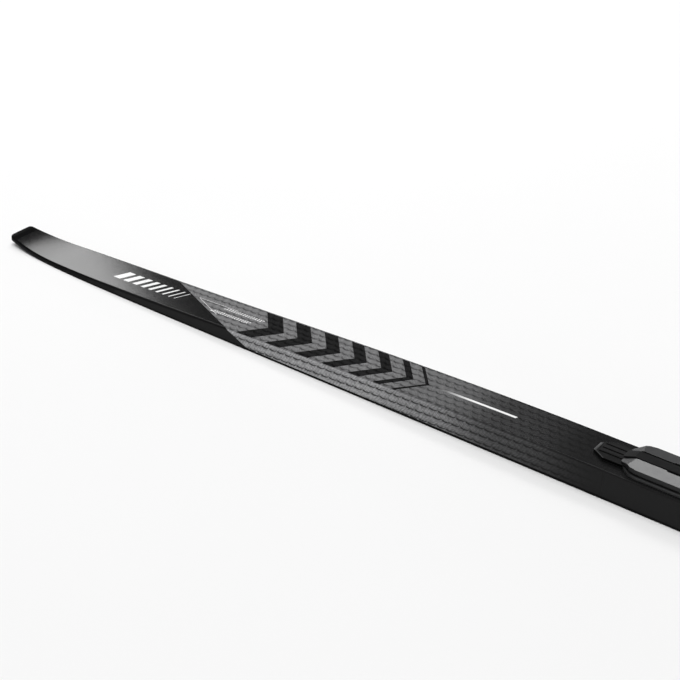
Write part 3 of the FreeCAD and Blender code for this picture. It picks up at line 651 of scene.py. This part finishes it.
def detailed(node, bevel, finish, crease=28, join=True):
    """Stands for a CAD node: the same body with rounded edges and its own material.

    With `join` each flat side becomes one face; a side with two holes can't be one face.
    """
    source = frame["nodes"][node]
    mesh = bmesh.new()
    mesh.from_mesh(source.data)
    bmesh.ops.remove_doubles(mesh, verts=mesh.verts, dist=0.000002)
    if join:
        bmesh.ops.dissolve_limit(mesh, angle_limit=math.radians(0.3), verts=mesh.verts, edges=mesh.edges)
    for face in mesh.faces:
        face.smooth = True
    data = bpy.data.meshes.new(node + "_detail")
    mesh.to_mesh(data)
    mesh.free()
    piece = bpy.data.objects.new(node + "_detail", data)
    SCENE.collection.objects.link(piece)
    rounding = piece.modifiers.new("rounding", "BEVEL")
    rounding.width = bevel * MM
    rounding.segments = 3
    rounding.limit_method = "ANGLE"
    rounding.angle_limit = math.radians(crease)
    weighted = piece.modifiers.new("weighted", "WEIGHTED_NORMAL")
    weighted.weight = 100
    data.materials.append(finish)
    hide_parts(node)
    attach(piece, source["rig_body"])
    return piece


# ---------------------------------------------------------------- studio

# Soft boxes: name, heading and climb in degrees seen from the target, width, height, watts, target.
SOFT_BOXES = (
    ("front_box", -29.6, 28.0, 1.08, 1.0, 13.0, Vector((0.5, 0.0, 0.01))),
    ("binding_box", -55.0, 48.5, 1.3, 0.5, 12.0, Vector((0.0, 0.0, 0.03))),
)
BOX_REACH = 3.0
FLOOR_HALF = 40.0
SUN_SPREAD, SUN_POWER, SUN_TILT = 0.95, 2.0, -0.15


def soft_box(name, heading, climb, wide, high, power, target):
    """An area light at BOX_REACH from its target, and facing it."""
    heading, climb = math.radians(heading), math.radians(climb)
    toward = Vector((math.cos(heading) * math.cos(climb), math.sin(heading) * math.cos(climb), math.sin(climb)))
    data = bpy.data.lights.new(name, "AREA")
    data.shape = "RECTANGLE"
    data.size = wide
    data.size_y = high
    data.energy = power
    light = bpy.data.objects.new(name, data)
    light.location = target + toward * BOX_REACH
    light.rotation_mode = "QUATERNION"
    light.rotation_quaternion = (-toward).to_track_quat("-Z", "Y")
    light.visible_camera = False
    SCENE.collection.objects.link(light)


def build_floor():
    floor_mesh = bmesh.new()
    bmesh.ops.create_grid(floor_mesh, x_segments=2, y_segments=2, size=FLOOR_HALF)
    data = bpy.data.meshes.new("floor")
    floor_mesh.to_mesh(data)
    floor_mesh.free()
    floor = bpy.data.objects.new("floor", data)
    net = Net("floor_white")
    cloud = net.noise(net.place(), 3.0)
    colour = net.mix(cloud, grey(0.86), grey(0.88))
    data.materials.append(net.surface(colour, 0.9, Specular_IOR_Level=0.1))
    SCENE.collection.objects.link(floor)


def build_world():
    """Dark room with a bright ceiling and a soft band at the horizon; the camera sees it white."""
    world = Net("studio", world=True)
    direction = world.node("ShaderNodeSeparateXYZ")
    world.feed(direction.inputs[0], world.out(world.node("ShaderNodeTexCoord"), 0))
    height = world.out(direction, 2)
    lift = world.ramp(height, 0.72, 0.98, 0.03, 1.0)
    seen = world.out(world.node("ShaderNodeLightPath"), 0)
    horizon = world.ramp(height, 0.02, 0.06) * world.ramp(height, 0.2, 0.28, 0.5, 0.0)
    background = world.node("ShaderNodeBackground")
    background.inputs[0].default_value = (1.0, 1.0, 1.0, 1.0)
    world.feed(background.inputs[1], lift + horizon + seen * 0.9)
    output = world.node("ShaderNodeOutputWorld")
    world.tree.links.new(background.outputs[0], output.inputs[0])
    SCENE.world = world.owner


def build_studio():
    """Pale floor, wide overhead light kept out of reflections, and two soft boxes."""
    build_floor()
    build_world()
    sky = bpy.data.lights.new("overhead", "SUN")
    sky.angle = SUN_SPREAD
    sky.energy = SUN_POWER
    overhead = bpy.data.objects.new("overhead", sky)
    overhead.rotation_euler = (SUN_TILT, 0.0, 0.0)
    overhead.visible_glossy = False
    SCENE.collection.objects.link(overhead)
    for box in SOFT_BOXES:
        soft_box(*box)
    SCENE.view_settings.view_transform = "Standard"


# ---------------------------------------------------------------- build

# Specular level of the top, then of the side walls up to a distance from the tip in mm.
CAP_GLOSS = ((0.45, 0.0), (0.02, 80.0), (0.04, 110.0), (0.07, 145.0), (0.12, 2000.0))
TOP_FACES_UP = 0.985
# Share of its length that a spring keeps when its joint is pressed to the limit.
SPRINGS = (("pawl_spring", "pawl_hinge", 0.12), ("button_spring", "heel_button_press", 0.42))
NOT_JOINED = ("plate_rear", "toe_housing")


def build_ski():
    """The cap, and finishes for the layers under it."""
    cap = build_cap()
    for index, (specular, _) in enumerate(CAP_GLOSS):
        cap.data.materials.append(cap_material("cap_%d" % index, specular))
    for polygon in cap.data.polygons:
        if abs(polygon.normal.z) < TOP_FACES_UP:
            from_tip = HALF - polygon.center.x / MM
            polygon.material_index = sum(from_tip >= limit for _, limit in CAP_GLOSS)
    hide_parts("topsheet")
    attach(cap, "ski")
    hidden = {
        "base_sole": sintered_base("running_base"),
        "edge_strip_left": moulded("edge_strip", 0.006, 0.5, specular=0.04),
        "lower_laminate": laminate_cloth("lower_cloth", 0.05),
        "upper_laminate": laminate_cloth("upper_cloth", 0.06),
        "foam_core": foam("core_foam", (0.52, 0.4, 0.22), (0.66, 0.55, 0.36), 900.0),
        "mount_block": foam("block_polymer", grey(0.05), grey(0.09), 2500.0),
        "tip_insert": moulded("insert_polymer", 0.06, 0.5),
    }
    hidden["edge_strip_right"] = hidden["edge_strip_left"]
    hidden["tail_insert"] = hidden["tip_insert"]
    for node, finish in hidden.items():
        mesh = frame["nodes"][node].data
        mesh.materials.clear()
        mesh.materials.append(finish)
    detailed("tail_protector", 0.9, moulded("tail_cap", 0.016, 0.42))


def build_binding():
    """Detailed copies of every binding piece, then the pale faces, on the plate nose a painted highlight, and
    own mesh copies for the springs.
    """
    black = moulded("black_nylon", 0.012, 0.4, specular=0.2)
    shell = moulded("housing_nylon", 0.028, 0.38, specular=0.3)
    rail = moulded("rail_nylon", 0.007, 0.36, specular=0.09)
    grip = moulded("lever_nylon", 0.009, 0.34, specular=0.1)
    # Pale grey nylon for the flanks' tops; on the plate nose's tilted facets it is a painted highlight.
    pale_nylon_and_highlight = moulded("flank_nylon_and_nose_highlight", 0.055, 0.24, depth=0.00001, specular=0.6, flow=0.12)
    tab = moulded("pawl_nylon", 0.22, 0.36)
    band = moulded("strap_polymer", 0.03, 0.3, grain=1200.0)
    steel = metal("brushed_steel", 0.6, 0.3, (4000.0, 300.0, 4000.0))
    spring = metal("spring_steel", 0.5, 0.34, (900.0, 900.0, 5000.0))
    zinc = metal("zinc_screw", 0.5, 0.36, (2500.0, 2500.0, 400.0))
    soft = rubbery("soft_rubber", 0.022)
    parts = [
        ("plate_front", 0.2, rail, "plate"), ("plate_rear", 0.3, rail, "plate"),
        ("toe_housing", 0.2, shell, "housing"), ("heel_block", 0.5, black, "housing"),
        ("flank_left", 0.18, pale_nylon_and_highlight, "flank"), ("flank_right", 0.18, pale_nylon_and_highlight, "flank"),
        ("lever", 0.2, grip, "lever"), ("heel_button", 0.3, tab, "pawl"),
        ("shift_pawl", 0.3, tab, "pawl"), ("connecting_strap", 0.25, band, "strap"),
        ("jaw", 0.3, steel, "steel"), ("bar_seat", 0.25, steel, "steel"),
        ("lever_pin", 0.15, steel, "steel"), ("jaw_pin", 0.15, steel, "steel"),
        ("pawl_pin", 0.12, steel, "steel"), ("strap_rivet", 0.2, steel, "steel"),
        ("pawl_spring", 0.04, spring, "spring_steel"),
        ("button_spring", 0.05, spring, "spring_steel"),
        ("flexor", 0.5, soft, "rubber"), ("heel_pad_left", 0.35, soft, "rubber"),
        ("heel_pad_right", 0.35, soft, "rubber"),
    ]
    for node in sorted(frame["nodes"]):
        if node.startswith("screw_"):
            parts.append((node, 0.12, zinc, "screw"))
    for node, bevel, finish, slot in parts:
        crease = 12 if slot == "flank" else 28
        detailed(node, bevel, finish, crease, join=node not in NOT_JOINED)
    for node, joint, keep in SPRINGS:
        coil = bpy.data.objects[node + "_detail"]
        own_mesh(coil)
    for side in ("left", "right"):
        cover = bpy.data.objects["flank_%s_detail" % side]
        cover.data.materials.append(black)
        for polygon in cover.data.polygons:
            polygon.material_index = 0 if polygon.normal.z > 0.5 else 1
    # The plate nose's tilted facets get the pale nylon as a painted highlight.
    nose = bpy.data.objects["plate_front_detail"]
    nose.data.materials.append(pale_nylon_and_highlight)
    for polygon in nose.data.polygons:
        tilted = 0.5 < polygon.normal.z < 0.96 and polygon.normal.x > 0.2
        polygon.material_index = 1 if tilted else 0


make_camera()
build_ski()
build_binding()
build_studio()
